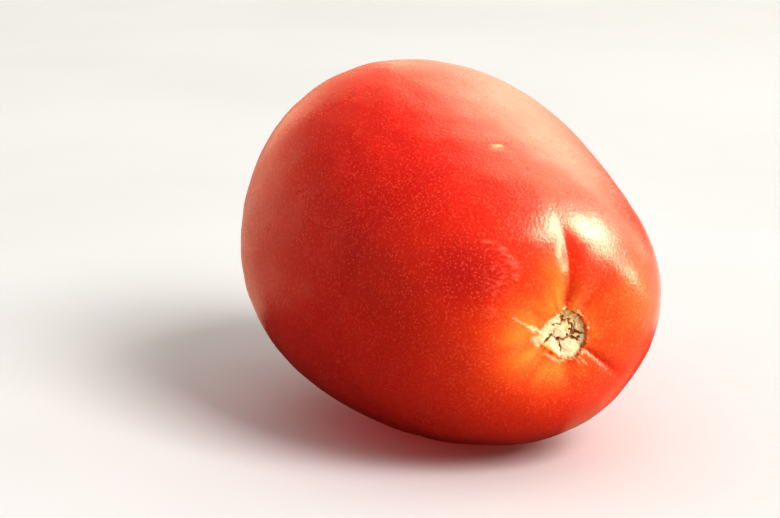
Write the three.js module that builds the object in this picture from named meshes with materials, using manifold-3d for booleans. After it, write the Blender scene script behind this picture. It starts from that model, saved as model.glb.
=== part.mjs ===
// Plum tomato, whole and ripe, lying on its side on the small flat spot it has settled onto.
// Millimetres, +Z up. +X runs along the fruit towards the stem end. The origin is under the
// middle of the fruit's bounding box, on the surface that the fruit lies on.
// The fruit grew as one piece, so it is one closed solid: the skin, the hollow at the stem end
// with its furrows, the dry corky scar where the stalk came away, and the dimple with the tiny
// flower mark at the blossom end all belong to the same body.
import * as THREE from 'three';
import { mergeVertices } from 'three/addons/utils/BufferGeometryUtils.js';
import Module from 'manifold-3d';

// ---- driving dimensions (mm, degrees) ----
const HALF_LENGTH = 37.08;          // half of the fruit's length, before the two end hollows
const BODY_RADIUS = 27.5;           // radius at the middle
const FULLNESS = 0.861;             // below 1 the sides stay full towards both ends
const TAPER = [-0.143, 0.0589, 0.1766];   // how the radius changes along the fruit: linear, square and cube terms
const OVAL = 0.0441;                // the cross-section is slightly oval
const OVAL_AT = -0.0313;            // direction of its long axis, radians
const LOBES = -0.0213;              // three-sided swelling of the stem shoulder
const LOBES_AT = -0.1639;
const BEND = -3.884;                // both ends stand off the middle's axis by this much
const BEND_AT = 4.1153;             // direction of the bend, radians
const STEM_HOLLOW = 3.185;          // depth of the hollow round the stalk
const STEM_HOLLOW_R = 9.0;
const BLOSSOM_DIMPLE = 1.2;         // depth of the dimple at the blossom end
const BLOSSOM_DIMPLE_R = 6.0;
const BLOSSOM_MARK_R = 0.9;         // tiny dry point left by the flower
const BLOSSOM_MARK_H = 0.5;
const SCAR_R = 3.6;                 // corky stalk scar
const SCAR_OVAL = 0.075;
const SCAR_RISE = 0.3;              // its rim stands above the skin
const SCAR_PIT = 0.75;              // pit in its middle, where the vein ran
const SCAR_PIT_R = 0.85;
const AXIS_DIP = 9.942;             // the stem end lies lower than the blossom end
const ROLL = -5.897;                // the fruit's roll about its own axis
const FLAT_DEPTH = 0.5;             // how much the underside has settled flat

// furrows that run out from the scar over the shoulder:
// [direction deg, depth, half width, radius where it starts to fade, fading length]
const FURROWS = [
  [94, 0.72, 0.80, 12.5, 4.2],
  [62, 0.38, 1.30, 7.0, 4.0],
  [22, 0.20, 1.1, 5.8, 4.2],
  [330, 0.52, 0.50, 9.5, 3.4],
  [288, 0.22, 1.0, 5.4, 3.8],
  [236, 0.34, 1.2, 6.0, 5.0],
  [193, 0.14, 1.0, 5.4, 3.6],
  [150, 0.18, 1.0, 5.6, 4.2],
];
const FURROW_START = [2.0, 5.6];    // each furrow deepens between these two radii

// broad, shallow swellings and flats all over the skin: height of each of 60 evenly spread patches
const SWELL_WIDTH = 0.36;
const SWELL = [-0.21, -0.04, 0.06, -0.17, -0.11, -0.37, 0.07, 0.26, -0.27, -0.02, 0.14, -0.04,
  -0.23, 0.85, 0.06, -0.09, 0.12, 0.01, -0.11, 0.0, -0.4, -0.27, -0.11, 0.12,
  -0.24, -0.06, 0.13, -0.0, 0.13, 0.42, 0.05, 0.05, 0.38, 0.05, 0.08, -0.15,
  0.14, -0.35, -0.06, -0.03, -0.06, -0.11, -0.06, 0.3, 0.11, 0.39, -0.11, -0.07,
  -0.46, -0.04, -0.01, 0.17, 0.11, -0.17, -0.04, -0.12, 0.14, 0.03, 0.12, 0.05];

const MERIDIANS = 72;
const RINGS = 42;
const RING_CROWDING = 0.5;          // rings lie closer together at the two ends

const SKIN = 0xcf2812;

// ---- shape ----
const rad = Math.PI / 180;
const swellDirs = SWELL.map((_, k) => {
  const phi = Math.acos(1 - 2 * (k + 0.5) / SWELL.length);
  const lam = Math.PI * (1 + Math.sqrt(5)) * (k + 0.5);
  return new THREE.Vector3(Math.cos(lam) * Math.sin(phi), Math.sin(lam) * Math.sin(phi), Math.cos(phi));
});
const smooth = (e0, e1, x) => {
  const t = Math.min(1, Math.max(0, (x - e0) / (e1 - e0)));
  return t * t * (3 - 2 * t);
};
const turn = (a) => Math.atan2(Math.sin(a), Math.cos(a));

// Point of the skin at angle s from the stem end and direction th round the fruit's own axis (local z).
function skinPoint(s, th, out) {
  const c = Math.cos(s), si = Math.max(Math.sin(s), 0);
  const r0 = BODY_RADIUS * Math.pow(si, FULLNESS) * (1 + TAPER[0] * c + TAPER[1] * c * c + TAPER[2] * c * c * c);
  let z = HALF_LENGTH * c;
  if (c > 0) z -= STEM_HOLLOW * Math.exp(-((r0 / STEM_HOLLOW_R) ** 2));
  else z += BLOSSOM_DIMPLE * Math.exp(-((r0 / BLOSSOM_DIMPLE_R) ** 2)) - BLOSSOM_MARK_H * Math.exp(-((r0 / BLOSSOM_MARK_R) ** 2));
  const w = Math.pow(Math.max(c, 0), 1.5);
  const r = r0 * (1 + OVAL * Math.cos(2 * (th - OVAL_AT)) + LOBES * w * Math.cos(3 * (th - LOBES_AT)));
  const bx = BEND * c * c;
  const n = new THREE.Vector3(si * Math.cos(th), si * Math.sin(th), c);
  let lift = 0;
  for (let k = 0; k < SWELL.length; k++) lift += SWELL[k] * Math.exp((n.dot(swellDirs[k]) - 1) / (SWELL_WIDTH * SWELL_WIDTH));
  if (c > 0) {
    for (const [dir, depth, half, fade, len] of FURROWS) {
      const off = Math.abs(turn(th - dir * rad));
      const along = smooth(FURROW_START[0], FURROW_START[1], r0) * Math.exp(-((Math.max(r0 - fade, 0) / len) ** 2));
      if (off < Math.PI / 2) lift -= depth * along * Math.exp(-Math.pow(r0 * off / (half * (0.6 + 0.09 * r0)), 1.5));
    }
    const edge = SCAR_R * (1 - SCAR_OVAL * Math.cos(2 * th));
    lift += SCAR_RISE * (1 - smooth(edge - 0.35, edge + 0.45, r0));
    lift -= SCAR_PIT * Math.exp(-((r0 / SCAR_PIT_R) ** 2));
  }
  return out.set(r * Math.cos(th) + bx * Math.cos(BEND_AT) + n.x * lift,
    r * Math.sin(th) + bx * Math.sin(BEND_AT) + n.y * lift,
    z + n.z * lift);
}

// The fruit's own axes in the part's frame: local z towards the stem end, dipping a little.
const dip = AXIS_DIP * rad, roll = ROLL * rad;
const side = new THREE.Vector3(0, 1, 0);
const upper = new THREE.Vector3(Math.sin(dip), 0, Math.cos(dip));
const along = new THREE.Vector3(Math.cos(dip), 0, -Math.sin(dip));
const lx = side.clone().multiplyScalar(Math.cos(roll)).addScaledVector(upper, Math.sin(roll));
const ly = upper.clone().multiplyScalar(Math.cos(roll)).addScaledVector(side, -Math.sin(roll));
const toFrame = new THREE.Matrix4().makeBasis(lx, ly, along);

function closedGeometry(geometry) {
  geometry.deleteAttribute('normal');
  geometry.deleteAttribute('uv');
  return mergeVertices(geometry, 1e-4);
}

function fruitGeometry() {
  const g = closedGeometry(new THREE.SphereGeometry(1, MERIDIANS, RINGS));
  const pos = g.attributes.position;
  const v = new THREE.Vector3();
  for (let i = 0; i < pos.count; i++) {
    // the sphere's own pole is its y axis
    const u = Math.acos(Math.min(1, Math.max(-1, pos.getY(i))));
    const th = Math.atan2(pos.getX(i), pos.getZ(i));
    skinPoint(u - RING_CROWDING * Math.sin(2 * u) / 2, th, v);
    v.applyMatrix4(toFrame);
    pos.setXYZ(i, v.x, v.y, v.z);
  }
  return g;
}

// ---- the flat spot ----
const wasm = await Module();
wasm.setup();
const solid = (g) => new wasm.Manifold(new wasm.Mesh({
  numProp: 3,
  vertProperties: new Float32Array(g.attributes.position.array),
  triVerts: new Uint32Array(g.index.array),
}));

const whole = fruitGeometry();
whole.computeBoundingBox();
const lowest = whole.boundingBox.min.z;
const below = closedGeometry(new THREE.BoxGeometry(120, 120, 40));
below.translate(0, 0, lowest + FLAT_DEPTH - 20);
const rested = solid(whole).subtract(solid(below)).getMesh();

const tomatoGeometry = new THREE.BufferGeometry();
tomatoGeometry.setAttribute('position', new THREE.BufferAttribute(new Float32Array(rested.vertProperties), 3));
tomatoGeometry.setIndex(new THREE.BufferAttribute(new Uint32Array(rested.triVerts), 1));
tomatoGeometry.computeBoundingBox();
const box = tomatoGeometry.boundingBox;
tomatoGeometry.translate(-(box.min.x + box.max.x) / 2, -(box.min.y + box.max.y) / 2, -box.min.z);
tomatoGeometry.computeVertexNormals();

const tomato = new THREE.Mesh(tomatoGeometry, new THREE.MeshStandardMaterial({ color: SKIN, roughness: 0.34, metalness: 0 }));
tomato.name = 'tomato';

const fruit = new THREE.Group();
fruit.add(tomato);

export default fruit;
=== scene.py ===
import math
import bpy
import numpy as np
from mathutils import Matrix, Vector


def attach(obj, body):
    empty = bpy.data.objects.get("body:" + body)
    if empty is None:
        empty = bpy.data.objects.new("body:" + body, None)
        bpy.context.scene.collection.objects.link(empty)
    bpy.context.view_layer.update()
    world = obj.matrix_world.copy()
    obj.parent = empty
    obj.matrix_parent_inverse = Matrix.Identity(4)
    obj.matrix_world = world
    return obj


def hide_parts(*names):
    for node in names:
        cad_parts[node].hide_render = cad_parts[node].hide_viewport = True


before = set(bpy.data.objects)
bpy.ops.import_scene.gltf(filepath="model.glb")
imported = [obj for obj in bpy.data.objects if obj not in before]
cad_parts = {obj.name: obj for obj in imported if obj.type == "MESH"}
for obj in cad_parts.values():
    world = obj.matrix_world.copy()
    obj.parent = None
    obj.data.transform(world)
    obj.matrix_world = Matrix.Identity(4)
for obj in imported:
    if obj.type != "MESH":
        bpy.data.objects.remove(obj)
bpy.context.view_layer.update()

# ------------------------------------------------------------------ dimensions (mm), as in the CAD part
HALF_LENGTH = 37.08
BODY_RADIUS = 27.5
FULLNESS = 0.861
TAPER = (-0.143, 0.0589, 0.1766)
OVAL, OVAL_AT = 0.0441, -0.0313
LOBES, LOBES_AT = -0.0213, -0.1639
BEND, BEND_AT = -3.884, 4.1153
STEM_HOLLOW, STEM_HOLLOW_R = 3.185, 9.0
BLOSSOM_DIMPLE, BLOSSOM_DIMPLE_R = 1.2, 6.0
AXIS_DIP, ROLL = 9.942, -5.897
FLAT_DEPTH = 0.5
SWELL_WIDTH = 0.36
SWELL = np.array([-0.21, -0.04, 0.06, -0.17, -0.11, -0.37, 0.07, 0.26, -0.27, -0.02, 0.14, -0.04,
  -0.23, 0.85, 0.06, -0.09, 0.12, 0.01, -0.11, 0.0, -0.4, -0.27, -0.11, 0.12,
  -0.24, -0.06, 0.13, -0.0, 0.13, 0.42, 0.05, 0.05, 0.38, 0.05, 0.08, -0.15,
  0.14, -0.35, -0.06, -0.03, -0.06, -0.11, -0.06, 0.3, 0.11, 0.39, -0.11, -0.07,
  -0.46, -0.04, -0.01, 0.17, 0.11, -0.17, -0.04, -0.12, 0.14, 0.03, 0.12, 0.05])
# furrows over the stem shoulder: direction deg, depth, half width, radius where they start to fade, fading length
FURROWS = [
    (94, 0.72, 0.80, 12.5, 4.2),
    (62, 0.38, 1.30, 7.0, 4.0),
    (22, 0.20, 1.1, 5.8, 4.2),
    (330, 0.52, 0.50, 9.5, 3.4),
    (288, 0.22, 1.0, 5.4, 3.8),
    (236, 0.34, 1.2, 6.0, 5.0),
    (193, 0.14, 1.0, 5.4, 3.6),
    (150, 0.18, 1.0, 5.6, 4.2),
]
# radius of the corky scar every 15 degrees round the stem end
SCAR_OUTLINE = np.array([3.57, 3.35, 3.30, 3.27, 3.42, 3.60, 3.83, 3.77, 3.51, 3.42, 3.33, 3.36,
                         3.36, 3.24, 2.90, 2.82, 2.79, 3.05, 3.32, 3.80, 4.35, 4.37, 4.15, 3.84])

MERIDIANS = 360
TAU = 2 * math.pi


def smooth(e0, e1, x):
    t = np.clip((x - e0) / (e1 - e0), 0, 1)
    return t * t * (3 - 2 * t)


def turn(a):
    return np.arctan2(np.sin(a), np.cos(a))


class Waves:
    """Smooth, repeatable unevenness: many plane waves in seeded directions, about 1 high."""

    def __init__(self, seed, length, count=36, spread=0.45):
        rng = np.random.RandomState(seed)
        d = rng.normal(size=(count, 3))
        d /= np.linalg.norm(d, axis=1, keepdims=True)
        self.k = d * (TAU / (length * (1 + spread * rng.uniform(-1, 1, (count, 1)))))
        self.p = rng.uniform(0, TAU, count)
        self.n = math.sqrt(2.0 / count)

    def __call__(self, P):
        flat = P.reshape(-1, P.shape[-1])
        out = np.zeros(len(flat))
        for k, p in zip(self.k[:, :P.shape[-1]], self.p):
            out += np.sin(flat @ k + p)
        return (out * self.n).reshape(P.shape[:-1])


i_k = np.arange(len(SWELL)) + 0.5
phi_k = np.arccos(1 - 2 * i_k / len(SWELL))
lam_k = math.pi * (1 + math.sqrt(5)) * i_k
SWELL_DIRS = np.stack([np.cos(lam_k) * np.sin(phi_k), np.sin(lam_k) * np.sin(phi_k), np.cos(phi_k)], 1)


def profile(s):
    c, si = np.cos(s), np.clip(np.sin(s), 0, None)
    r0 = BODY_RADIUS * si ** FULLNESS * (1 + TAPER[0] * c + TAPER[1] * c * c + TAPER[2] * c ** 3)
    z = HALF_LENGTH * c
    z = z - np.where(c > 0, STEM_HOLLOW * np.exp(-(r0 / STEM_HOLLOW_R) ** 2), 0)
    z = z + np.where(c <= 0, BLOSSOM_DIMPLE * np.exp(-(r0 / BLOSSOM_DIMPLE_R) ** 2), 0)
    return r0, z


def body(s, th):
    """The fruit without its fine detail, and the outward direction used for detail."""
    c, si = np.cos(s), np.clip(np.sin(s), 0, None)
    r0, z = profile(s)
    w = np.clip(c, 0, 1) ** 1.5
    r = r0 * (1 + OVAL * np.cos(2 * (th - OVAL_AT)) + LOBES * w * np.cos(3 * (th - LOBES_AT)))
    n = np.stack([si * np.cos(th), si * np.sin(th), c], -1)
    lift = np.zeros(s.shape)
    for k in range(len(SWELL)):
        lift += SWELL[k] * np.exp((n @ SWELL_DIRS[k] - 1) / SWELL_WIDTH ** 2)
    for direction, depth, half, fade, length in FURROWS:
        a = turn(th - math.radians(direction))
        across = r0 * np.abs(a)
        along = smooth(2.0, 5.6, r0) * np.exp(-(np.clip(r0 - fade, 0, None) / length) ** 2)
        cut = depth * along * np.exp(-(across / (half * (0.6 + 0.09 * r0))) ** 1.5)
        lift -= np.where((c > 0) & (np.abs(a) < math.pi / 2), cut, 0)
    bx = BEND * c * c
    P = np.stack([r * np.cos(th) + bx * math.cos(BEND_AT), r * np.sin(th) + bx * math.sin(BEND_AT), z], -1)
    return P + n * lift[..., None], n, r0


# ------------------------------------------------------------------ rings, close together where the detail is
fine_s = np.linspace(0, math.pi, 20001)
fr, fz = profile(fine_s)
arc = np.concatenate([[0], np.cumsum(np.hypot(np.diff(fr), np.diff(fz)))])
step_at = lambda a: np.interp(a, [0, 4.8, 7.5, 14, 24, arc[-1] - 6, arc[-1] - 2.5, arc[-1]],
                              [0.085, 0.085, 0.16, 0.36, 0.52, 0.52, 0.2, 0.16])
stops, a = [], 0.0
while True:
    a += float(step_at(a))
    if a > arc[-1] - 0.12:
        break
    stops.append(a)
rings = np.interp(np.array(stops), arc, fine_s)
RINGS = len(rings)
theta = np.arange(MERIDIANS) * TAU / MERIDIANS
# the two poles are added as rings of no size, and merged into one vertex each below
S, TH = np.meshgrid(np.concatenate([[0.0], rings, [math.pi]]), theta, indexing="ij")
BASE, NORMAL_DIR, R0 = body(S, TH)
COS = np.cos(S)
stem_side = COS > 0
X = R0 * np.cos(TH)          # plane of the stem end, mm from the middle of the scar
Y = R0 * np.sin(TH)


def true_normals(P):
    ds = np.gradient(P, axis=0)
    dt = np.roll(P, -1, 1) - np.roll(P, 1, 1)
    n = np.cross(ds, dt)
    n[0] = (0, 0, 1)
    n[-1] = (0, 0, -1)
    n /= np.linalg.norm(n, axis=-1, keepdims=True)
    flip = (n * NORMAL_DIR).sum(-1) < 0
    n[flip] *= -1
    return n


OUT = true_normals(BASE)

# ------------------------------------------------------------------ the stalk scar
edge_r = np.interp(np.degrees(TH) % 360, np.arange(0, 361, 15), np.r_[SCAR_OUTLINE, SCAR_OUTLINE[0]])
ragged = Waves(5, 0.9)(np.stack([X, Y, 0 * X], -1)) * 0.07 + Waves(6, 0.38)(np.stack([X, Y, 0 * X], -1)) * 0.04
edge_r = edge_r + ragged
inside = R0 - edge_r                     # below 0 on the cork
cork = np.where(stem_side, 1 - smooth(-0.07, 0.05, inside), 0)


def blob(cx, cy, rx, ry=None, turned=0.0):
    ry = rx if ry is None else ry
    ca, sa = math.cos(turned), math.sin(turned)
    dx, dy = X - cx, Y - cy
    return np.exp(-(((dx * ca + dy * sa) / rx) ** 2 + ((-dx * sa + dy * ca) / ry) ** 2))


def line(pts, width, taper=0.5):
    """1 on a polyline, fading over its half width; the ends are thinner."""
    best = np.zeros(X.shape)
    wob = Waves(21, 0.7)(np.stack([X, Y, 0 * X], -1)) * 0.07
    wob2 = Waves(22, 0.7)(np.stack([X, Y, 0 * X], -1)) * 0.07
    px, py = X + wob, Y + wob2
    total = sum(math.dist(p, q) for p, q in zip(pts, pts[1:]))
    run = 0.0
    for (x0, y0), (x1, y1) in zip(pts, pts[1:]):
        L = math.dist((x0, y0), (x1, y1))
        t = np.clip(((px - x0) * (x1 - x0) + (py - y0) * (y1 - y0)) / (L * L), 0, 1)
        d = np.hypot(px - x0 - t * (x1 - x0), py - y0 - t * (y1 - y0))
        u = (run + t * L) / total
        w = width * (1 - taper * np.abs(2 * u - 1) ** 2)
        best = np.maximum(best, np.exp(-(d / w) ** 2))
        run += L
    return best


# cracks between the corky lobes, and the pits where the veins ran
cracks = np.zeros(X.shape)
for pts, w, d in [
    ([(0.95, -0.45), (1.7, -0.75), (2.4, -1.0), (2.95, -1.35)], 0.20, 1.0),
    ([(1.0, 0.55), (1.8, 0.25), (2.6, 0.0), (3.35, -0.2)], 0.24, 1.0),
    ([(0.55, 2.1), (0.95, 1.5), (1.35, 0.95), (1.55, 0.3), (1.45, -0.3)], 0.17, 0.95),
    ([(1.4, 1.75), (1.6, 1.2), (1.8, 0.7)], 0.10, 0.6),
    ([(0.15, -1.1), (0.12, -1.7), (0.3, -2.3), (0.45, -2.9)], 0.13, 0.8),
    ([(-0.3, -1.05), (-0.9, -0.85), (-1.5, -0.5)], 0.12, 0.55),
    ([(-1.3, -0.35), (-1.75, -0.75), (-2.25, -1.35)], 0.24, 1.0),
    ([(-0.35, -1.0), (0.15, -1.12), (0.6, -1.1), (1.0, -0.7)], 0.14, 0.8),
    ([(-2.0, 1.25), (-1.4, 1.05), (-0.9, 1.25), (-0.5, 1.15), (-0.35, 1.75), (-0.75, 2.7), (-0.98, 3.5)], 0.08, 0.7),
    ([(-0.75, 2.5), (-0.4, 1.9), (0.1, 1.8), (0.6, 2.05)], 0.16, 0.6),
    ([(-1.9, 0.2), (-1.4, 0.25), (-1.1, 0.0)], 0.07, 0.45),
    ([(1.0, -1.0), (1.5, -0.95), (2.1, -1.15)], 0.08, 0.5),
    ([(-0.55, -2.0), (-0.2, -1.5), (-0.3, -1.1)], 0.08, 0.5),
]:
    cracks = np.maximum(cracks, d * line(pts, w))
for cx, cy, r, d in [(-0.33, -1.05, 0.32, 1.25), (0.52, -1.18, 0.22, 0.9), (-1.5, -0.45, 0.30, 1.0), (-2.1, -1.2, 0.24, 0.9),
                     (1.75, -0.05, 0.42, 0.95), (2.75, -0.75, 0.30, 0.9), (-0.45, 2.45, 0.42, 0.85), (-0.30, 1.95, 0.30, 0.8), (0.75, 1.95, 0.28, 0.75)]:
    cracks = np.maximum(cracks, d * blob(cx, cy, r))
cracks = cracks * cork

# corky lobes stand up between the cracks
lobes = (0.34 * blob(0.25, 0.45, 1.15) + 0.30 * blob(1.55, -2.1, 1.05, 0.95) + 0.30 * blob(-1.15, -2.45, 1.3, 0.8, -0.5)
         + 0.26 * blob(-2.45, 0.75, 0.85, 1.3, 0.3) + 0.16 * blob(-1.6, 2.1, 0.9, 0.7) + 0.2 * blob(2.4, 1.0, 0.8, 1.2)
         + 0.10 * blob(0.6, 3.0, 1.1, 0.7) + 0.12 * blob(0.2, -3.3, 1.4, 0.5))
grain = Waves(31, 0.55)(np.stack([X, Y, 0 * X], -1)) * 0.035 + Waves(32, 0.26)(np.stack([X, Y, 0 * X], -1)) * 0.022
floor_tilt = -0.22 - 0.07 * Y / 3.6 - 0.05 * X / 3.6      # the cork lies lower towards its upper right
scar_height = floor_tilt + 0.75 * lobes + 0.35 * grain - 0.30 * np.clip(cracks, 0, 1.3)
# a raised, ragged lip of skin round the cork
lip = 0.16 * np.exp(-((inside - 0.22) / 0.30) ** 2) * (1 + 0.5 * Waves(8, 1.6)(np.stack([X, Y, 0 * X], -1)))
lip = lip + 0.10 * np.exp(-((inside - 0.5) / 0.8) ** 2)
lip = np.where(stem_side, lip, 0)
detail = cork * scar_height + (1 - cork) * lip

# corky streaks that run out from the scar
flare = np.maximum.reduce([
    1.0 * line([(-3.1, 0.2), (-3.85, -0.6), (-3.6, -1.7)], 0.60),
    1.0 * line([(-3.3, 0.25), (-4.4, 0.70), (-5.5, 1.2)], 0.34),
    0.50 * line([(-5.3, 1.1), (-6.7, 1.95), (-8.1, 2.8)], 0.13),
    0.45 * line([(-3.9, -0.9), (-4.8, -1.1)], 0.14),
    0.36 * line([(2.7, -3.1), (3.8, -3.9), (4.9, -4.7)], 0.10),
    0.34 * line([(2.4, -3.4), (3.0, -3.9), (3.6, -4.5)], 0.09),
    0.5 * line([(-2.4, -3.1), (-0.9, -3.95), (0.4, -4.25), (1.6, -4.2)], 0.34, 0.7),
    0.35 * line([(0.3, -4.2), (0.6, -5.0)], 0.10),
])
flare = np.where(stem_side, flare, 0) * (1 - cork)
detail = detail + 0.07 * flare

# ------------------------------------------------------------------ marks on the skin
def spot(x, y, z):
    """Distance in mm over the skin from a point given in the fruit's own axes."""
    return np.linalg.norm(BASE - np.array([x, y, z]), axis=-1)


def nearest(s_deg, th_deg):
    P, n, _ = body(np.array([math.radians(s_deg)]), np.array([math.radians(th_deg)]))
    return P[0], n[0]


def local_axes(s_deg, th_deg):
    """A skin point, with the directions away from the stem and round the fruit."""
    p, _ = nearest(s_deg, th_deg)
    q, _ = nearest(s_deg + 1, th_deg)
    w, _ = nearest(s_deg, th_deg + 1)
    u, v = q - p, w - p
    return p, u / np.linalg.norm(u), v / np.linalg.norm(v)


# a shallow, deep red bruise on the side of the stem shoulder, with a puckered ridge along its stem side
def over_skin(points, width, taper=0.4):
    """1 on a line over the skin through points given as (degrees from the stem end, degrees round)."""
    pts = [nearest(*q)[0] for q in points]
    steps = [np.linalg.norm(b - a) for a, b in zip(pts, pts[1:])]
    best, run, total = np.zeros(X.shape), 0.0, sum(steps)
    for a, b, L in zip(pts, pts[1:], steps):
        t = np.clip((BASE - a) @ (b - a) / (L * L), 0, 1)
        d = np.linalg.norm(BASE - a - t[..., None] * (b - a), axis=-1)
        u = (run + t * L) / total
        best = np.maximum(best, np.exp(-(d / (width * (1 - taper * np.abs(2 * u - 1) ** 2))) ** 2))
        run += L
    return best


def patch_at(s_deg, th_deg, radius, power=2.0):
    return np.exp(-(np.linalg.norm(BASE - nearest(s_deg, th_deg)[0], axis=-1) / radius) ** power)


bruise = np.exp(-(np.linalg.norm(BASE - nearest(32.5, 149)[0], axis=-1) / 4.6) ** 2.6)
ridge = over_skin([(36.4, 132), (32.0, 129), (29.4, 130), (27.8, 130), (23.9, 131), (21.1, 136)], 0.55)
pebbled = patch_at(24.0, 142, 2.5, 3.0)
knob = patch_at(19.9, 163, 0.95)
pucker = Waves(41, 0.95)(BASE) * 0.5 + Waves(42, 0.6)(BASE) * 0.5
detail = detail - 0.20 * bruise + 0.085 * ridge * (1 + 0.6 * pucker) + 0.020 * pucker * pebbled + 0.07 * knob * (1 + 0.4 * pucker)
# painted sheen: pale pink laid on the crests of the ridge, on the pebbled patch and on the knob
painted_sheen = np.clip(0.95 * ridge * smooth(-0.6, 0.5, pucker) + 0.62 * pebbled * smooth(0.0, 0.7, pucker) + 0.9 * knob * smooth(-0.8, 0.6, pucker), 0, 1)

# a small nick further back: a dent with a pale edge, and painted shade along its other side
p, u, v = local_axes(66.4, 97.7)
du, dv = (BASE - p) @ u, (BASE - p) @ v
near = np.linalg.norm(BASE - p, axis=-1)
nick = np.exp(-((du / 0.6) ** 2 + (dv / 1.2) ** 2)) * (near < 6)
nick_edge = np.exp(-(((du - 0.10 - 0.10 * dv ** 2) / 0.22) ** 2 + (dv / 0.80) ** 4)) * (near < 6)
# painted shade: a dark band along the side of the nick away from its pale edge
painted_shade_by_nick = np.exp(-(((du + 0.42 - 0.10 * dv ** 2) / 0.24) ** 2 + (dv / 1.15) ** 2)) * (near < 6)
detail = detail - 0.22 * nick + 0.10 * nick_edge
p, _ = nearest(63.6, 94.1)
nick_dot = np.exp(-(np.linalg.norm(BASE - p, axis=-1) / 0.34) ** 2)

# scattered specks and faint scuffs all round, as on any picked fruit
rng = np.random.RandomState(11)
specks = np.zeros(X.shape)
for _ in range(46):
    sd = math.degrees(math.acos(rng.uniform(-0.96, 0.82)))
    td = rng.uniform(0, 360)
    size = rng.uniform(0.16, 0.38)
    p, _ = nearest(sd, td)
    d = np.linalg.norm(BASE - p, axis=-1)
    specks = np.maximum(specks, rng.uniform(0.3, 0.9) * np.exp(-(d / size) ** 2))
scuffs = np.zeros(X.shape)
for sd, td, length, turned in [(75, 215, 5.0, 0.4), (110, 300, 6.5, 1.2), (95, 20, 4.0, 2.0), (60, 265, 3.5, 0.9), (125, 120, 5.5, 0.2)]:
    p, u, v = local_axes(sd, td)
    du, dv = (BASE - p) @ u, (BASE - p) @ v
    near = np.linalg.norm(BASE - p, axis=-1)
    a1 = du * math.cos(turned) + dv * math.sin(turned)
    a2 = -du * math.sin(turned) + dv * math.cos(turned) + 0.03 * a1 ** 2
    scuffs = np.maximum(scuffs, np.exp(-((a1 / (length / 2)) ** 4 + (a2 / 0.16) ** 2)) * (near < 12))
detail = detail - 0.02 * specks - 0.015 * scuffs

# the flower mark at the blossom end: a tiny dry point with a puckered ring
far_side = COS < 0
mark = np.where(far_side, np.exp(-(R0 / 0.85) ** 2), 0)
ring = np.where(far_side, np.exp(-((R0 - 1.7) / 0.7) ** 2), 0)
pleats = np.where(far_side, np.exp(-((R0 - 2.6) / 2.2) ** 2) * np.cos(9 * TH + 0.6 * np.sin(2 * TH)), 0)
detail = detail + 0.50 * mark - 0.12 * ring + 0.05 * pleats
mark_brown = np.where(far_side, np.exp(-((R0 + 0.12 * np.cos(5 * TH)) / 0.95) ** 4), 0)

# slow unevenness of the skin, which breaks up reflections
calm = 1 - cork
detail = detail + calm * (0.030 * Waves(51, 7.0)(BASE) + 0.0045 * Waves(52, 2.6)(BASE))
# fine radial creases where the skin is drawn in towards the stalk
polar = np.stack([np.cos(TH) * 9.0, np.sin(TH) * 9.0, R0 * 0.12], -1)
creases = Waves(61, 2.2)(polar) * np.where(stem_side, np.exp(-((R0 - 5.2) / 3.0) ** 2), 0)
detail = detail + calm * 0.016 * creases

SKIN = BASE + OUT * detail[..., None]

# ------------------------------------------------------------------ into the part's frame
dip, roll = math.radians(AXIS_DIP), math.radians(ROLL)
side = np.array([0, 1, 0.0])
upper = np.array([math.sin(dip), 0, math.cos(dip)])
along_axis = np.array([math.cos(dip), 0, -math.sin(dip)])
lx = side * math.cos(roll) + upper * math.sin(roll)
ly = upper * math.cos(roll) - side * math.sin(roll)
TO_FRAME = np.stack([lx, ly, along_axis], 1)
plain = BASE.reshape(-1, 3) @ TO_FRAME.T
low, high = plain.min(0), plain.max(0)
SHIFT = np.array([-(low[0] + high[0]) / 2, -(low[1] + high[1]) / 2, -(low[2] + FLAT_DEPTH)])


def settled(P):
    """Points in the part's frame, mm, with the underside pressed flat."""
    W = P.reshape(-1, 3) @ TO_FRAME.T + SHIFT
    W[:, 2] = 0.5 * (W[:, 2] + np.sqrt(W[:, 2] ** 2 + 0.05 ** 2))
    W[:, 2] -= 0.0012
    W[:, 2] = np.maximum(W[:, 2], 0.0)
    return W


grid = settled(SKIN).reshape(SKIN.shape)

# ------------------------------------------------------------------ one closed mesh
n_rows = RINGS + 2
body_v = grid[1:-1].reshape(-1, 3)
verts = np.concatenate([grid[0, :1], body_v, grid[-1, :1]]) * 0.001
n_v = len(verts)
idx = 1 + np.arange(RINGS * MERIDIANS).reshape(RINGS, MERIDIANS)
nxt = np.roll(idx, -1, 1)
quads = np.stack([idx[:-1], idx[1:], nxt[1:], nxt[:-1]], -1).reshape(-1, 4)
top = np.stack([np.zeros(MERIDIANS, int), idx[0], nxt[0]], -1)
bottom = np.stack([np.full(MERIDIANS, n_v - 1), nxt[-1], idx[-1]], -1)
faces = [tuple(f) for f in quads.tolist()] + [tuple(f) for f in top.tolist()] + [tuple(f) for f in bottom.tolist()]
me = bpy.data.meshes.new("tomato_skin")
me.from_pydata(verts.tolist(), [], faces)
me.update()
me.shade_smooth()
fruit = bpy.data.objects.new("tomato_skin", me)
bpy.context.scene.collection.objects.link(fruit)


def attribute(name, values):
    """A number at each vertex of the mesh, from the grid."""
    flat = np.concatenate([values[0, :1], values[1:-1].reshape(-1), values[-1, :1]]).astype(np.float32)
    me.attributes.new(name, "FLOAT", "POINT").data.foreach_set("value", flat)


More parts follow.
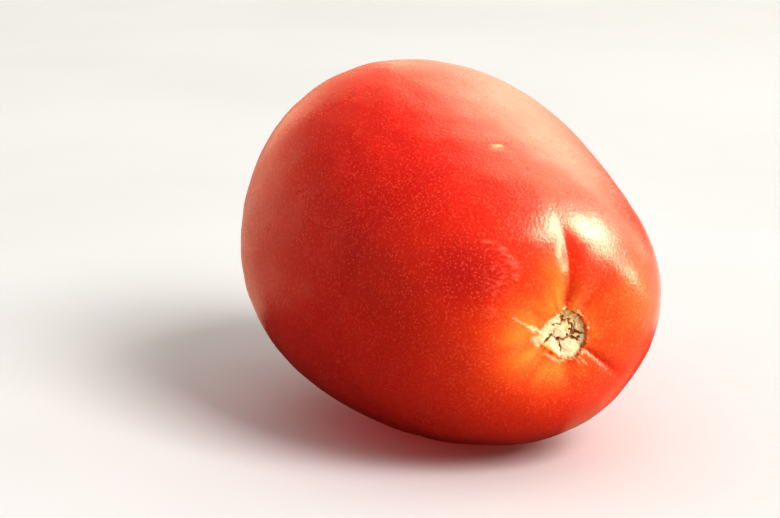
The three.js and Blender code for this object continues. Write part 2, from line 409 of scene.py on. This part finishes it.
# how far the red has given way to orange: most on the left of the stalk, in streaks
polar2 = np.stack([np.cos(TH) * 5.0, np.sin(TH) * 5.0, R0 * 0.22], -1)
streaks = Waves(71, 2.6)(polar2) * 0.5 + Waves(72, 1.3)(polar2) * 0.3
lean = 0.5 + 0.5 * np.cos(TH - math.radians(182))
reach = 7.0 + 2.8 * lean
orange = np.where(stem_side, np.exp(-(np.clip(R0 - 2.5, 0, None) / reach) ** 2.2), 0)
yellow = np.where(stem_side, np.exp(-((R0 - 4.6) / (2.2 + 2.0 * lean)) ** 2) * (0.30 + 0.70 * lean), 0)
band = R0 * turn(TH - math.radians(106))
stripe = np.exp(-(band / (0.9 + 0.14 * R0)) ** 2) * smooth(3.5, 6.0, R0) * (1 - smooth(10.5, 15.5, R0)) * (np.abs(turn(TH - math.radians(106))) < 1)
yellow = np.where(stem_side, yellow * (1 + 0.35 * streaks) + 0.62 * stripe + 0.30 * blob(9.8, 5.0, 4.2, 5.5), 0)
yellow = np.clip(yellow, 0, 1)
orange = np.clip(orange * (1 + 0.16 * streaks) + np.where(stem_side, 0.5 * blob(10.5, 4.0, 5.0, 6.5), 0), 0, 1)
groove = np.zeros(X.shape)
for direction, depth, half, fade, length in FURROWS:
    aa = turn(TH - math.radians(direction))
    along_f = smooth(2.6, 5.6, R0) * np.exp(-(np.clip(R0 - fade, 0, None) / (length * 1.1)) ** 2)
    groove = np.maximum(groove, np.where(stem_side & (np.abs(aa) < 1.5), (depth / 0.8) ** 0.7 * along_f * np.exp(-(R0 * np.abs(aa) / (0.75 + 0.05 * R0)) ** 2), 0))
# oranger red over the stem half: partly the shoulder's own colour, partly painted light standing in for the lit side
shoulder_and_lit_side = np.where(stem_side, 1 - smooth(10, 30, R0 + 9 * (COS < 0.5)), 0) * (1 - 0.9 * bruise)
orange = orange * (1 - 0.85 * bruise) * (1 - 0.55 * pebbled)

attribute("cork", cork)
attribute("cracks", np.clip(cracks, 0, 1))
attribute("scar_edge", np.where(stem_side, np.exp(-(inside / 0.11) ** 2), 0))
attribute("flare", np.clip(flare, 0, 1))
attribute("orange", orange)
attribute("yellow", yellow)
attribute("groove", np.clip(groove, 0, 1))
attribute("shoulder_and_lit_side", shoulder_and_lit_side)
attribute("bruise", bruise)
attribute("painted_sheen", np.clip(painted_sheen, 0, 1))
attribute("nick", np.clip(nick_edge, 0, 1))
attribute("painted_shade_by_nick", np.clip(painted_shade_by_nick, 0, 1))
attribute("nick_dot", np.clip(nick_dot, 0, 1))
attribute("specks", np.clip(specks, 0, 1))
attribute("scuffs", np.clip(scuffs, 0, 1))
attribute("mark_brown", np.clip(mark_brown, 0, 1))
attribute("shade_in_scar", np.where(stem_side, smooth(0.3, 3.4, Y * 0.85 + X * 0.55) * cork, 0))

# a map whose rows crowd at the stem end, so that the scar is drawn large enough
uv = me.uv_layers.new(name="OFBake")
arc_at = np.interp(np.concatenate([[0.0], rings, [math.pi]]), fine_s, arc)
weight = np.interp(arc_at, [0, 5, 9, 16, arc[-1] - 4, arc[-1]], [3.2, 2.6, 1.5, 1.0, 1.0, 1.3])
v_at = np.concatenate([[0], np.cumsum(np.diff(arc_at) * (weight[1:] + weight[:-1]) / 2)])
v_at = 0.002 + 0.996 * v_at / v_at[-1]
row_of = np.concatenate([[0], 1 + np.repeat(np.arange(RINGS), MERIDIANS), [n_rows - 1]])
col_of = np.concatenate([[0], np.tile(np.arange(MERIDIANS), RINGS), [0]])
loop_v = np.empty(len(me.loops), np.int32)
me.loops.foreach_get("vertex_index", loop_v)
starts = np.empty(len(me.polygons), np.int32)
totals = np.empty(len(me.polygons), np.int32)
me.polygons.foreach_get("loop_start", starts)
me.polygons.foreach_get("loop_total", totals)
cols = col_of[loop_v].astype(float)
rows = row_of[loop_v]
face_of = np.repeat(np.arange(len(starts)), totals)
pole = (loop_v == 0) | (loop_v == n_v - 1)
hi_col = np.full(len(starts), -1.0)
np.maximum.at(hi_col, face_of, np.where(pole, -1, cols))
wrap = (hi_col[face_of] == MERIDIANS - 1) & (cols == 0) & ~pole
cols = np.where(wrap, MERIDIANS, cols)
lo_col = np.full(len(starts), 1e9)
np.minimum.at(lo_col, face_of, np.where(pole, 1e9, cols))
cols = np.where(pole, lo_col[face_of] + 0.5, cols)
uvs = np.stack([0.001 + 0.998 * cols / MERIDIANS, v_at[rows]], 1).astype(np.float32)
uv.data.foreach_set("uv", uvs.ravel())


# ------------------------------------------------------------------ materials
def srgb(r, g, b):
    f = lambda c: (c / 255 / 12.92) if c / 255 <= 0.04045 else ((c / 255 + 0.055) / 1.055) ** 2.4
    return (f(r), f(g), f(b), 1.0)


class Nodes:
    def __init__(self, name):
        self.mat = bpy.data.materials.new(name)
        self.mat.use_nodes = True
        self.t = self.mat.node_tree
        self.t.nodes.clear()

    def new(self, kind, **props):
        n = self.t.nodes.new(kind)
        for k, v in props.items():
            if k == "inputs":
                for i, val in v.items():
                    n.inputs[i].default_value = val
            else:
                setattr(n, k, v)
        return n

    def link(self, a, b):
        self.t.links.new(a, b)

    def attr(self, name):
        return self.new("ShaderNodeAttribute", attribute_name=name).outputs["Fac"]

    def math(self, op, a, b=None, clamp=False):
        n = self.new("ShaderNodeMath", operation=op, use_clamp=clamp)
        for i, x in enumerate((a, b)):
            if x is None:
                continue
            if isinstance(x, (int, float)):
                n.inputs[i].default_value = x
            else:
                self.link(x, n.inputs[i])
        return n.outputs[0]

    def ramp(self, fac, lo, hi, a=0.0, b=1.0):
        n = self.new("ShaderNodeMapRange", interpolation_type="SMOOTHSTEP", clamp=True)
        n.inputs["From Min"].default_value = lo
        n.inputs["From Max"].default_value = hi
        n.inputs["To Min"].default_value = a
        n.inputs["To Max"].default_value = b
        self.link(fac, n.inputs["Value"])
        return n.outputs["Result"]

    def mix(self, fac, a, b, blend="MIX"):
        n = self.new("ShaderNodeMix", data_type="RGBA", blend_type=blend, clamp_factor=True)
        if isinstance(fac, (int, float)):
            n.inputs["Factor"].default_value = fac
        else:
            self.link(fac, n.inputs["Factor"])
        for sock, x in ((n.inputs[6], a), (n.inputs[7], b)):
            if isinstance(x, tuple):
                sock.default_value = x
            else:
                self.link(x, sock)
        return n.outputs[2]

    def noise(self, vector, scale, detail=3.0, rough=0.5, lac=2.0):
        n = self.new("ShaderNodeTexNoise", noise_dimensions="3D")
        n.inputs["Scale"].default_value = scale
        n.inputs["Detail"].default_value = detail
        n.inputs["Roughness"].default_value = rough
        n.inputs["Lacunarity"].default_value = lac
        self.link(vector, n.inputs["Vector"])
        return n.outputs["Fac"]

    def voronoi(self, vector, scale, feature="F1", rand=1.0, out="Distance"):
        n = self.new("ShaderNodeTexVoronoi", voronoi_dimensions="3D", feature=feature)
        n.inputs["Scale"].default_value = scale
        n.inputs["Randomness"].default_value = rand
        self.link(vector, n.inputs["Vector"])
        return n.outputs[out]


N = Nodes("tomato_skin")
co = N.new("ShaderNodeTexCoord").outputs["Object"]
cork_a, crack_a, edge_a, flare_a = N.attr("cork"), N.attr("cracks"), N.attr("scar_edge"), N.attr("flare")
orange_a, yellow_a, groove_a, shoulder_and_lit_side_a = N.attr("orange"), N.attr("yellow"), N.attr("groove"), N.attr("shoulder_and_lit_side")

# broad patches of riper and less ripe red
patch = N.noise(co, 42, 3, 0.55)
mottle = N.noise(co, 210, 4, 0.6)
red = N.mix(N.ramp(patch, 0.36, 0.66), (0.68, 0.0050, 0.0036, 1), (0.80, 0.0095, 0.0038, 1))
red = N.mix(N.math("MULTIPLY", N.ramp(mottle, 0.42, 0.72), 0.30), red, (0.84, 0.022, 0.007, 1))
# partly the shoulder's own orange, partly painted light: the lit stem half made more orange
red = N.mix(N.math("MULTIPLY", shoulder_and_lit_side_a, 0.60), red, (0.92, 0.046, 0.0040, 1))
red = N.mix(N.math("MULTIPLY", N.attr("bruise"), 0.95), red, (0.62, 0.0030, 0.0022, 1))
ripe = N.mix(orange_a, red, (0.98, 0.080, 0.0040, 1))
ripe = N.mix(N.math("MULTIPLY", yellow_a, 0.82), ripe, (1.0, 0.33, 0.036, 1))
ripe = N.mix(N.math("MULTIPLY", groove_a, 0.80), ripe, (0.92, 0.030, 0.0030, 1))

# pale cells under the skin: dense small dots of many sizes, and short dashes between them
fine = N.noise(co, 2500, 1.5, 0.55)
finer = N.noise(co, 4100, 1.0, 0.5)
cells = N.new("ShaderNodeTexVoronoi", voronoi_dimensions="3D", feature="F1")
cells.inputs["Scale"].default_value = 2300
cells.inputs["Randomness"].default_value = 0.9
N.link(co, cells.inputs["Vector"])
pick = N.new("ShaderNodeSeparateColor")
N.link(cells.outputs["Color"], pick.inputs[0])
round_dot = N.math("MULTIPLY", N.ramp(cells.outputs["Distance"], 0.42, 0.16), N.ramp(pick.outputs[0], 0.10, 0.80, 0.15, 1.0))
dash = N.math("MULTIPLY", N.ramp(fine, 0.56, 0.68), N.ramp(finer, 0.36, 0.56))
dots = N.math("MAXIMUM", round_dot, N.math("MULTIPLY", dash, 0.75))
dot_tint = N.mix(orange_a, (0.96, 0.105, 0.048, 1), (1.0, 0.38, 0.085, 1))
skin = N.mix(N.math("MULTIPLY", dots, N.ramp(orange_a, 0.0, 0.8, 0.82, 0.56)), ripe, dot_tint)
dark_cells = N.ramp(fine, 0.42, 0.30)
skin = N.mix(N.math("MULTIPLY", dark_cells, 0.16), skin, N.mix(orange_a, (0.56, 0.0025, 0.002, 1), (0.88, 0.045, 0.004, 1)))

# marks
# painted sheen: pale pink on the bruise's ridge, pebbled patch and knob
skin = N.mix(N.math("MULTIPLY", N.attr("painted_sheen"), 0.75), skin, (0.98, 0.18, 0.12, 1))
# painted shade: dark red along one side of the nick
skin = N.mix(N.math("MULTIPLY", N.attr("painted_shade_by_nick"), 0.55), skin, (0.40, 0.02, 0.006, 1))
skin = N.mix(N.math("MULTIPLY", N.attr("nick"), 0.95), skin, (1.0, 0.80, 0.42, 1))
skin = N.mix(N.math("MULTIPLY", N.attr("nick_dot"), 0.8), skin, (0.22, 0.05, 0.015, 1))
skin = N.mix(N.math("MULTIPLY", N.attr("specks"), 0.45), skin, (0.90, 0.22, 0.08, 1))
skin = N.mix(N.math("MULTIPLY", N.attr("scuffs"), 0.30), skin, (0.90, 0.18, 0.08, 1))
skin = N.mix(N.attr("mark_brown"), skin, (0.16, 0.062, 0.020, 1))

# cork
fibre = N.noise(co, 1500, 5, 0.62)
fibre2 = N.noise(co, 4200, 3, 0.6)
cream = N.mix(N.ramp(fibre, 0.34, 0.62), (0.80, 0.58, 0.30, 1), (0.96, 0.84, 0.60, 1))
cream = N.mix(N.math("MULTIPLY", N.ramp(fibre2, 0.56, 0.76), 0.12), cream, (0.66, 0.40, 0.16, 1))
cream = N.mix(N.math("MULTIPLY", N.attr("shade_in_scar"), 0.70), cream, N.mix(N.ramp(fibre, 0.35, 0.65), (0.60, 0.30, 0.09, 1), (0.92, 0.58, 0.27, 1)))
brown = N.mix(N.ramp(fibre, 0.35, 0.65), (0.30, 0.10, 0.018, 1), (0.55, 0.24, 0.060, 1))
corky = N.mix(N.ramp(crack_a, 0.14, 0.62), cream, brown)
# near-black in the deepest cracks and pits: painted shade in the holes; the brown along the cracks is the cork's own
corky = N.mix(N.ramp(crack_a, 0.86, 1.0), corky, (0.10, 0.028, 0.008, 1))
streak_c = N.mix(N.ramp(fibre, 0.35, 0.65), (1.0, 0.66, 0.32, 1), (1.0, 0.90, 0.68, 1))
surface = N.mix(N.math("MULTIPLY", flare_a, 0.92), skin, streak_c)
surface = N.mix(cork_a, surface, corky)
surface = N.mix(N.math("MULTIPLY", edge_a, N.ramp(fibre, 0.30, 0.58, 0.35, 0.90)), surface, (0.34, 0.12, 0.022, 1))

# roughness
rough = N.ramp(N.noise(co, 95, 3, 0.6), 0.3, 0.7, 0.255, 0.320)
rough = N.math("ADD", rough, N.math("MULTIPLY", N.attr("bruise"), 0.10))
rough = N.math("ADD", rough, N.math("MULTIPLY", dots, 0.08))
rmix = N.new("ShaderNodeMix", data_type="FLOAT", clamp_factor=True)
N.link(N.math("MAXIMUM", cork_a, N.math("MULTIPLY", flare_a, 0.8)), rmix.inputs["Factor"])
N.link(rough, rmix.inputs[2])
rmix.inputs[3].default_value = 0.82

# relief: pebbled skin cells, fibres of the cork
h = N.math("ADD", N.math("MULTIPLY", fine, 1.9), N.math("MULTIPLY", N.noise(co, 560, 3, 0.6), 0.45))
h = N.math("MULTIPLY", h, N.math("SUBTRACT", 1.0, cork_a))
h = N.math("ADD", h, N.math("MULTIPLY", N.math("MULTIPLY", fibre, cork_a), 1.3))
bump = N.new("ShaderNodeBump")
bump.inputs["Strength"].default_value = 0.6
bump.inputs["Distance"].default_value = 0.000045
N.link(h, bump.inputs["Height"])

bsdf = N.new("ShaderNodeBsdfPrincipled")
out = N.new("ShaderNodeOutputMaterial")
N.link(surface, bsdf.inputs["Base Color"])
N.link(rmix.outputs[0], bsdf.inputs["Roughness"])
N.link(bump.outputs["Normal"], bsdf.inputs["Normal"])
bsdf.inputs["IOR"].default_value = 1.46
bsdf.inputs["Specular Tint"].default_value = (1.0, 0.87, 0.64, 1)
N.link(N.math("MULTIPLY", N.math("SUBTRACT", 1.0, cork_a), 0.32), bsdf.inputs["Coat Weight"])
bsdf.inputs["Coat Roughness"].default_value = 0.48
bsdf.inputs["Coat IOR"].default_value = 1.40
N.link(bump.outputs["Normal"], bsdf.inputs["Coat Normal"])
bsdf.inputs["Subsurface Weight"].default_value = 0.30
bsdf.inputs["Subsurface Radius"].default_value = (1.0, 0.22, 0.10)
bsdf.inputs["Subsurface Scale"].default_value = 0.0032
N.link(bsdf.outputs["BSDF"], out.inputs["Surface"])
me.materials.append(N.mat)

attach(fruit, "root")
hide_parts("tomato")

# ------------------------------------------------------------------ pale floor and sweep
F = Nodes("pale_floor")
fco = F.new("ShaderNodeTexCoord").outputs["Object"]
tone = F.mix(F.ramp(F.noise(fco, 9, 3, 0.5), 0.3, 0.7), (0.61, 0.606, 0.600, 1), (0.635, 0.631, 0.626, 1))
# the table throws back less light than it shows, so the underside stays deep
path = F.new("ShaderNodeLightPath")
dim = F.mix(path.outputs["Is Glossy Ray"], (0.24, 0.236, 0.230, 1), (0.06, 0.055, 0.047, 1))
tone = F.mix(path.outputs["Is Camera Ray"], dim, tone)
fb = F.new("ShaderNodeBsdfPrincipled")
fb.inputs["Roughness"].default_value = 0.9
fb.inputs["Specular IOR Level"].default_value = 0.2
fo = F.new("ShaderNodeOutputMaterial")
F.link(tone, fb.inputs["Base Color"])
F.link(fb.outputs["BSDF"], fo.inputs["Surface"])
fm = bpy.data.meshes.new("floor")
q = 2.4
fm.from_pydata([(-q, -q, -0.00004), (q, -q, -0.00004), (q, q, -0.00004), (-q, q, -0.00004)], [], [(0, 1, 2, 3)])
floor = bpy.data.objects.new("floor", fm)
bpy.context.scene.collection.objects.link(floor)
fm.materials.append(F.mat)

# ------------------------------------------------------------------ light
world = bpy.data.worlds.new("studio")
world.use_nodes = True
bg = world.node_tree.nodes["Background"]
bg.inputs["Color"].default_value = (1.0, 0.985, 0.965, 1)
bg.inputs["Strength"].default_value = 0.55
# the side of the room behind the camera is dimmer and warmer than the light it gives
seen = world.node_tree.nodes.new("ShaderNodeLightPath")
tint = world.node_tree.nodes.new("ShaderNodeMix")
tint.data_type = "RGBA"
tint.inputs[6].default_value = (1.0, 0.985, 0.965, 1)
tint.inputs[7].default_value = (0.60, 0.50, 0.30, 1)
world.node_tree.links.new(seen.outputs["Is Glossy Ray"], tint.inputs["Factor"])
pale = world.node_tree.nodes.new("ShaderNodeMix")
pale.data_type = "RGBA"
pale.inputs[7].default_value = (1.55, 1.53, 1.50, 1)
world.node_tree.links.new(seen.outputs["Is Camera Ray"], pale.inputs["Factor"])
world.node_tree.links.new(tint.outputs[2], pale.inputs[6])
world.node_tree.links.new(pale.outputs[2], bg.inputs["Color"])
bpy.context.scene.world = world


def aim(obj, eye, target):
    obj.location = eye
    d = Vector(target) - Vector(eye)
    obj.rotation_euler = d.to_track_quat("-Z", "Y").to_euler()


def softbox(name, azimuth, elevation, wide, tall, radiance, colour=(1, 1, 1), glints=True, shades=True, turned=0.0,
            only=None, distance=2.0, target=(0, 0, 0.027)):
    """An even rectangular light, its two sides given as angles. Azimuth 0 is at -Y, and 90 at +X."""
    a, e = math.radians(azimuth), math.radians(elevation)
    light = bpy.data.lights.new(name, "AREA")
    light.shape = "RECTANGLE"
    light.size, light.size_y = (2 * distance * math.tan(math.radians(v) / 2) for v in (wide, tall))
    light.energy = radiance * math.pi * light.size * light.size_y
    light.color = colour
    ob = bpy.data.objects.new(name, light)
    bpy.context.scene.collection.objects.link(ob)
    eye = Vector(target) + distance * Vector((math.sin(a) * math.cos(e), -math.cos(a) * math.cos(e), math.sin(e)))
    aim(ob, eye, target)
    ob.rotation_euler = (ob.rotation_euler.to_matrix() @ Matrix.Rotation(math.radians(turned), 3, "Z")).to_euler()
    ob.visible_glossy, ob.visible_diffuse, ob.visible_camera = glints, shades, False
    if only is not None:
        lit = bpy.data.collections.new(name + "_lights")
        lit.objects.link(only)
        ob.light_linking.receiver_collection = lit
    return ob


def evenly(irradiance, wide, tall):
    """Radiance that gives this irradiance / pi, facing the light."""
    return irradiance * math.pi / (4 * math.tan(math.radians(wide) / 2) * math.tan(math.radians(tall) / 2))


softbox("key", 145, 43, 32, 44, evenly(1.50, 32, 44), (1.0, 0.985, 0.955), glints=False, only=fruit)
softbox("stem_fill", 112, 4, 40, 34, evenly(0.43, 40, 34), (1.0, 0.985, 0.955), glints=False, only=fruit)
softbox("key_on_table", 111, 40, 26, 26, evenly(1.28, 26, 26), (1.0, 0.995, 0.985), glints=False, only=floor, distance=4.0)
softbox("fill_on_table", 20, 80, 60, 60, evenly(0.30, 60, 60), (1.0, 0.975, 0.955), glints=False, only=floor, distance=3.0)
softbox("window_left", 147, 52, 30, 20, 31.0, (1.0, 0.96, 0.82), shades=False)
softbox("window_right", 154, 30.5, 15, 53, 35.0, (1.0, 0.96, 0.82), shades=False, turned=-42)
softbox("window_low", 148, 0, 15, 8.5, 40.0, (1.0, 0.93, 0.80), shades=False, only=fruit, distance=0.25, target=(0, 0, 0.020))
softbox("bright_wall", 207, 41, 52, 52, 2.95, (1.0, 0.91, 0.66), shades=False)
softbox("low_wall", 188, 6, 44, 16, 2.9, (1.0, 0.90, 0.68), shades=False)
softbox("back_wall", 237, 20, 25, 46, 1.55, (1.0, 0.90, 0.66), shades=False)
softbox("back_wall_left", 263, 18, 28, 38, 0.62, (1.0, 0.86, 0.60), shades=False)
softbox("far_wall", 292, 10, 50, 30, 0.95, (1.0, 0.78, 0.56), only=fruit, distance=0.30)
softbox("rim_fill", 290, 5, 50, 30, evenly(0.52, 50, 30), (1.0, 0.94, 0.88), glints=False, only=fruit, distance=0.30)


def card(name, x, y, wide, deep, radiance, colour, glints=True, shades=False):
    """A pale card lying on the table, which throws light up at the skin."""
    ob = softbox(name, 0, 0, 10, 10, radiance, colour, glints=glints, shades=shades, only=fruit)
    ob.data.size, ob.data.size_y = wide, deep
    ob.data.energy = radiance * math.pi * wide * deep
    aim(ob, (x, y, 0.001), (x, y, 1.0))


card("card_right", 0.080, 0.080, 0.12, 0.120, 0.80, (1.0, 0.82, 0.46), shades=True)
card("card_right_near", 0.077, 0.071, 0.12, 0.120, 0.45, (1.0, 0.84, 0.52), shades=True)
card("card_front", 0.100, -0.010, 0.13, 0.13, 0.25, (1.0, 0.95, 0.85), glints=False, shades=True)
card("card_behind", -0.060, 0.170, 0.24, 0.22, 1.5, (1.0, 0.90, 0.74))
card("card_left", -0.17, -0.070, 0.25, 0.20, 0.80, (1.0, 0.76, 0.52))

# light that has passed through the flesh and reddens the table beside it
through = bpy.data.lights.new("through_flesh", "POINT")
through.energy, through.color, through.shadow_soft_size, through.use_shadow = 0.0076, (1.0, 0.07, 0.06), 0.004, False
through_ob = bpy.data.objects.new("through_flesh", through)
bpy.context.scene.collection.objects.link(through_ob)
through_ob.location = (0.0, -0.002, 0.012)
through_ob.visible_camera = through_ob.visible_glossy = False
lit = bpy.data.collections.new("through_flesh_lights")
lit.objects.link(floor)
through_ob.light_linking.receiver_collection = lit

# ------------------------------------------------------------------ camera
RIGHT = Vector((0.38827, 0.921546, 0.0))
UP = Vector((-0.224676, 0.094662, 0.969825))
BACK = Vector((0.893738, -0.376554, 0.243803))
cam_data = bpy.data.cameras.new("camera")
cam_data.sensor_width = 36
cam_data.lens = 2167.0 / 780 * 36
cam_data.clip_start = 0.01
cam = bpy.data.objects.new("camera", cam_data)
bpy.context.scene.collection.objects.link(cam)
rot = Matrix((RIGHT, UP, BACK)).transposed().to_4x4()
eye = (np.array([289.038, -130.808, 79.772]) + SHIFT) * 0.001
cam.matrix_world = Matrix.Translation(Vector(eye)) @ rot
bpy.context.scene.camera = cam
bpy.context.scene.view_settings.view_transform = "Standard"
bpy.context.scene.view_settings.look = "None"
bpy.context.scene.view_settings.gamma = 0.8
